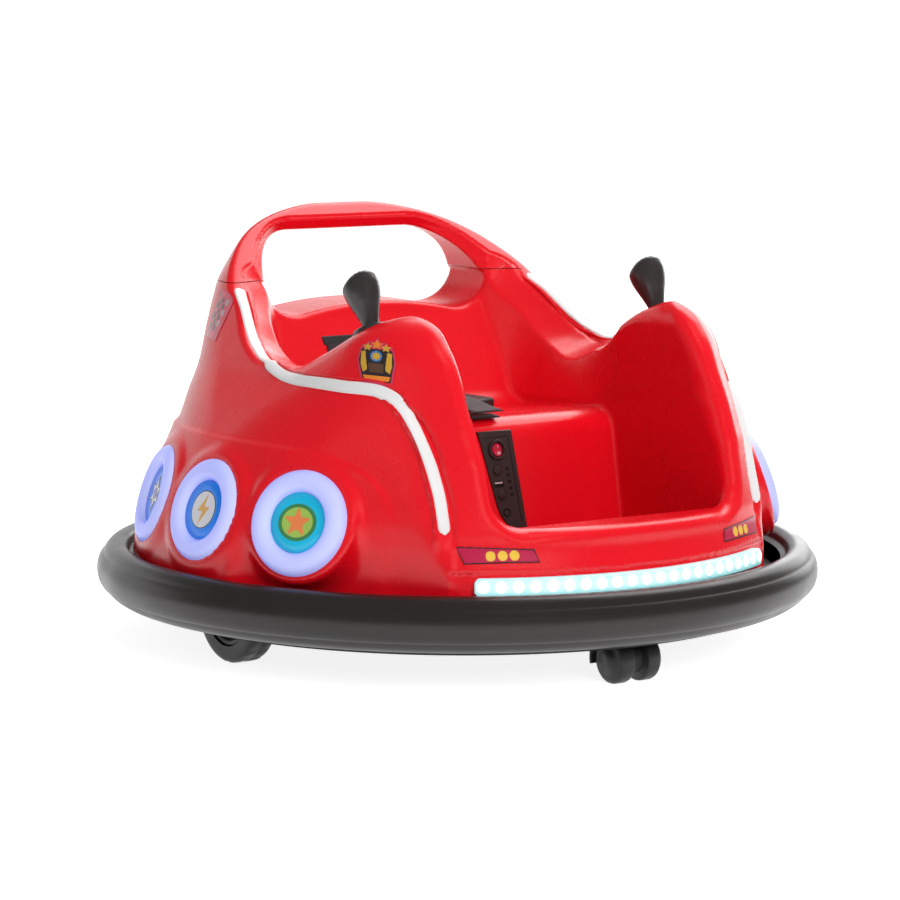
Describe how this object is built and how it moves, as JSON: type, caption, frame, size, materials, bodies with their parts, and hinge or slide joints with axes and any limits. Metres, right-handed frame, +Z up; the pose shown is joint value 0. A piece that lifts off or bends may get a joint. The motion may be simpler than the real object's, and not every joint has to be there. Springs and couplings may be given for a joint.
{
  "type": "ride-on bumper car",
  "caption": "Round battery ride-on bumper car for a small child, with a rubber ring, bucket seat, roll hoop, two drive levers, flank lamps and a light bar.",
  "frame": {"origin": "on the ground under the centre of the bumper ring", "axes": "+Z up, -Y forwards, the car is alike on both sides of the plane X = 0"},
  "size_m": [0.7399, 0.7398, 0.434],
  "materials": {
    "red_shell": "gloss",
    "black_rubber": "satin",
    "black_plastic": "matte",
    "wheel_plastic": "matte",
    "lamp_lens": "gloss",
    "lamp_print": "gloss",
    "bar_lens": "gloss",
    "panel_plastic": "satin",
    "red_switch": "gloss",
    "lever_plastic": "satin",
    "webbing": "matte",
    "battery_case": "matte"
  },
  "bodies": {
    "chassis": {"tub_shell": "red_shell", "flank_left": "red_shell", "flank_right": "red_shell", "hoop": "red_shell", "bumper_ring": "black_rubber", "base_pan": "black_plastic", "ring_clamp": "black_plastic", "battery_hatch": "black_plastic", "light_bar": "bar_lens", "control_panel": "panel_plastic", "power_switch": "red_switch", "button_upper": "panel_plastic", "button_lower": "panel_plastic", "charging_socket": "panel_plastic", "battery": "battery_case", "belt_strap_left": "webbing", "belt_strap_right": "webbing", "belt_buckle": "black_plastic", "lever_cup_left": "lever_plastic", "lever_cup_right": "lever_plastic", "gearbox_left": "black_plastic", "gearbox_right": "black_plastic", "caster_socket_front": "black_plastic", "caster_socket_rear": "black_plastic", "lamp_ring_left_front": "lamp_lens", "lamp_ring_left_middle": "lamp_lens", "lamp_ring_left_rear": "lamp_lens", "lamp_ring_right_front": "lamp_lens", "lamp_ring_right_middle": "lamp_lens", "lamp_ring_right_rear": "lamp_lens", "lamp_disc_left_front": "lamp_print", "lamp_disc_left_middle": "lamp_print", "lamp_disc_left_rear": "lamp_print", "lamp_disc_right_front": "lamp_print", "lamp_disc_right_middle": "lamp_print", "lamp_disc_right_rear": "lamp_print"},
    "drive_wheel_left": {"drive_tyre_left": "wheel_plastic", "drive_hub_left": "wheel_plastic"},
    "drive_wheel_right": {"drive_tyre_right": "wheel_plastic", "drive_hub_right": "wheel_plastic"},
    "caster_front": {"caster_hood_front": "black_plastic"},
    "caster_wheel_front": {"caster_wheels_front": "wheel_plastic"},
    "caster_rear": {"caster_hood_rear": "black_plastic"},
    "caster_wheel_rear": {"caster_wheels_rear": "wheel_plastic"},
    "lever_left": {"lever_left": "lever_plastic"},
    "lever_right": {"lever_right": "lever_plastic"}
  },
  "joints": [
    {"name": "drive_left", "type": "hinge", "parent": "chassis", "child": "drive_wheel_left", "pos_m": [-0.264, 0, 0.059], "axis": [1, 0, 0], "continuous": true},
    {"name": "drive_right", "type": "hinge", "parent": "chassis", "child": "drive_wheel_right", "pos_m": [0.264, 0, 0.059], "axis": [1, 0, 0], "continuous": true},
    {"name": "swivel_front", "type": "hinge", "parent": "chassis", "child": "caster_front", "pos_m": [0, -0.272, 0.05], "axis": [0, 0, 1], "continuous": true},
    {"name": "caster_roll_front", "type": "hinge", "parent": "caster_front", "child": "caster_wheel_front", "pos_m": [0, -0.292, 0.023], "axis": [1, 0, 0], "continuous": true},
    {"name": "swivel_rear", "type": "hinge", "parent": "chassis", "child": "caster_rear", "pos_m": [0, 0.272, 0.05], "axis": [0, 0, 1], "continuous": true},
    {"name": "caster_roll_rear", "type": "hinge", "parent": "caster_rear", "child": "caster_wheel_rear", "pos_m": [0, 0.252, 0.023], "axis": [1, 0, 0], "continuous": true},
    {"name": "lever_left_tilt", "type": "hinge", "parent": "chassis", "child": "lever_left", "pos_m": [-0.1745, -0.11438, 0.31962], "axis": [1, 0, 0], "range_deg": [-12, 12], "stiffness_Nm_per_rad": 0.6},
    {"name": "lever_right_tilt", "type": "hinge", "parent": "chassis", "child": "lever_right", "pos_m": [0.1745, -0.11438, 0.31962], "axis": [1, 0, 0], "range_deg": [-12, 12], "stiffness_Nm_per_rad": 0.6}
  ]
}
